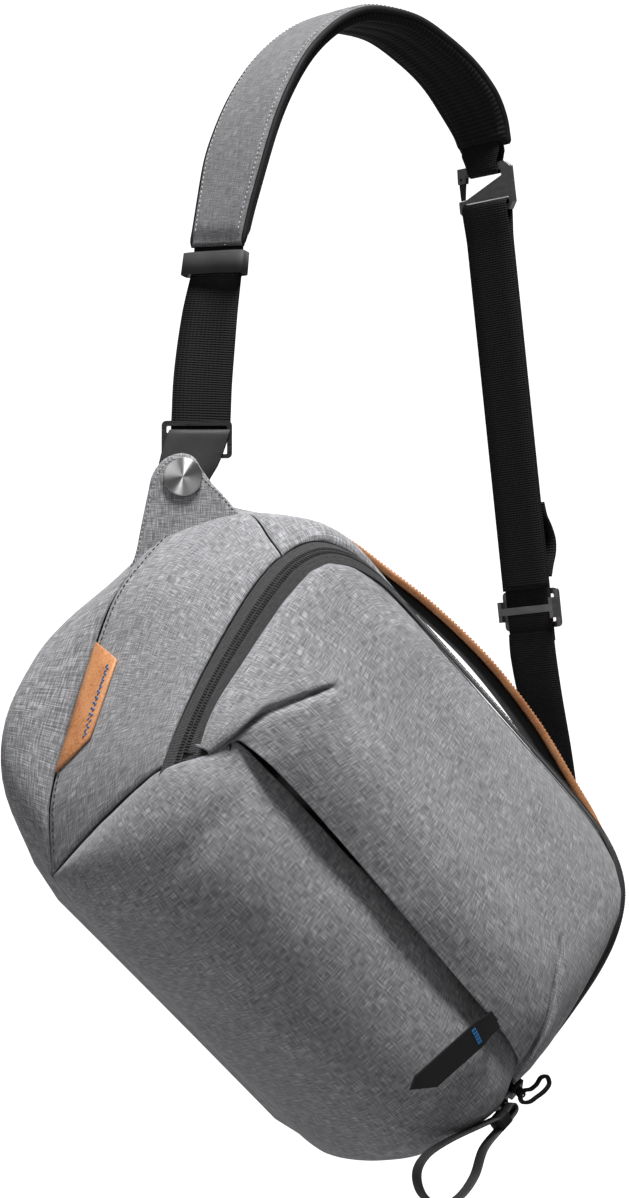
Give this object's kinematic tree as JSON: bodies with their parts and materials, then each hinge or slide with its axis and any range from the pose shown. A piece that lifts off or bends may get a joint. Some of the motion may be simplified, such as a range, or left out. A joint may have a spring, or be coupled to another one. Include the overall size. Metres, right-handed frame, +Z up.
{
  "type": "sling camera bag",
  "caption": "Soft sling bag for a camera, hanging by its padded strap: zipped lid, front pocket, padded dividers, grab handle.",
  "frame": {"origin": "underside of the shoulder pad at its highest point, where the bag hangs", "axes": "+Z up; the strap's loop lies in the XZ plane; the bag's front faces -Y, and its left end (seen from the front, at -X) hangs higher"},
  "size_m": [0.489, 0.1761, 0.7928],
  "materials": {
    "heather_fabric": "heather grey woven polyester, matt",
    "pad_mesh": "black ribbed spacer mesh",
    "lining": "light grey lining cloth",
    "webbing": "black nylon webbing",
    "hypalon": "dark grey coated cloth, matt",
    "zip_tape": "dark grey coated zip tape",
    "leather": "tan leather, semi-matt",
    "aluminium": "grey anodised, satin",
    "brushed_disc": "turned and brushed",
    "divider_foam": "brushed cloth over foam",
    "dark_metal": "dark plated"
  },
  "bodies": {
    "strap": {"shoulder_pad_face": "heather_fabric", "shoulder_pad_lining": "pad_mesh", "pad_keeper_loop": "hypalon", "webbing_left": "webbing", "webbing_right": "webbing", "webbing_right_return": "webbing", "webbing_lower": "webbing", "slide_hook": "aluminium", "gate_pin": "dark_metal", "hook_end_loop": "webbing"},
    "bag": {"back_panel": "heather_fabric", "base_panel": "lining", "divider_left": "divider_foam", "divider_right": "divider_foam", "grab_handle_leather": "leather", "grab_handle_pad": "webbing", "leather_tag": "leather", "left_anchor_disc": "brushed_disc", "left_anchor_post": "dark_metal", "left_ear_tab": "heather_fabric", "left_end_panel": "heather_fabric", "left_link": "hypalon", "left_strap_ring": "dark_metal", "main_zip_tape_body": "zip_tape", "pocket_divider_wall": "lining", "pocket_panel": "heather_fabric", "pocket_zip_tape": "zip_tape", "right_anchor_disc": "brushed_disc", "right_anchor_post": "dark_metal", "right_ear_tab": "heather_fabric", "right_end_panel": "heather_fabric", "right_link": "hypalon", "right_strap_ring": "dark_metal", "top_panel": "heather_fabric"},
    "lid": {"lid_panel": "heather_fabric", "pocket_flap": "heather_fabric", "lid_organiser": "lining", "main_zip_tape_lid": "zip_tape"},
    "adjuster": {"strap_adjuster": "aluminium", "webbing_tail": "webbing"},
    "hook_gate": {"hook_gate": "dark_metal"},
    "slider_upper": {"main_slider_upper": "dark_metal"},
    "pull_upper": {"main_pull_upper": "webbing"},
    "slider_lower": {"main_slider_lower": "dark_metal"},
    "pull_lower": {"main_pull_lower": "hypalon"},
    "pocket_slider": {"pocket_slider": "dark_metal"},
    "pocket_pull": {"pocket_pull": "hypalon"},
    "flap_left": {"divider_left_flap": "divider_foam"},
    "flap_right": {"divider_right_flap": "divider_foam"}
  },
  "joints": [
    {"name": "bag_swing", "type": "hinge", "parent": "strap", "child": "bag", "pos_m": [-0.14833, 0, -0.31696], "axis": [0.7992, 0.011, -0.6009], "range_deg": [-6, 30], "deforming": ["webbing_left", "webbing_lower"]},
    {"name": "lid_open", "type": "hinge", "parent": "bag", "child": "lid", "pos_m": [-0.07516, -0.121, -0.58891], "axis": [0.7694, 0, -0.6388], "range_deg": [0, 95]},
    {"name": "adjuster_slide", "type": "slide", "parent": "strap", "child": "adjuster", "axis": [-0.1297, 0, 0.9916], "range_m": [0, 0.15]},
    {"name": "gate_open", "type": "hinge", "parent": "strap", "child": "hook_gate", "pos_m": [0.10193, 0.01908, -0.08855], "axis": [-0.9714, -0.2065, -0.1171], "range_deg": [0, 38], "stiffness_Nm_per_rad": 0.02, "springref_deg": -20.05},
    {"name": "main_zip_slide", "type": "slide", "parent": "bag", "child": "slider_upper", "axis": [0.7648, 0, 0.6443], "range_m": [0, 0.085]},
    {"name": "upper_pull_swing", "type": "hinge", "parent": "slider_upper", "child": "pull_upper", "pos_m": [0.051, -0.09803, -0.70916], "axis": [0.4784, 0.6699, -0.5678], "range_deg": [-30, 45]},
    {"name": "second_zip_slide", "type": "slide", "parent": "bag", "child": "slider_lower", "axis": [0.7648, 0, 0.6443], "range_m": [-0.003, 0.002]},
    {"name": "lower_pull_swing", "type": "hinge", "parent": "slider_lower", "child": "pull_lower", "pos_m": [0.0382, -0.09844, -0.71648], "axis": [0.4993, 0.6321, -0.5926], "range_deg": [-45, 5]},
    {"name": "pocket_zip_slide", "type": "slide", "parent": "bag", "child": "pocket_slider", "axis": [-0.7694, 0, 0.6388], "range_m": [0, 0.2]},
    {"name": "pocket_pull_swing", "type": "hinge", "parent": "pocket_slider", "child": "pocket_pull", "pos_m": [0.00428, -0.123, -0.65915], "axis": [-0.7694, 0, 0.6388], "range_deg": [0, 80]},
    {"name": "left_divider_fold", "type": "hinge", "parent": "bag", "child": "flap_left", "pos_m": [-0.09874, 0.01, -0.54529], "axis": [0, 1, 0], "range_deg": [-80, 80]},
    {"name": "right_divider_fold", "type": "hinge", "parent": "bag", "child": "flap_right", "pos_m": [-0.02796, 0.01, -0.60406], "axis": [0, 1, 0], "range_deg": [-80, 80]}
  ]
}
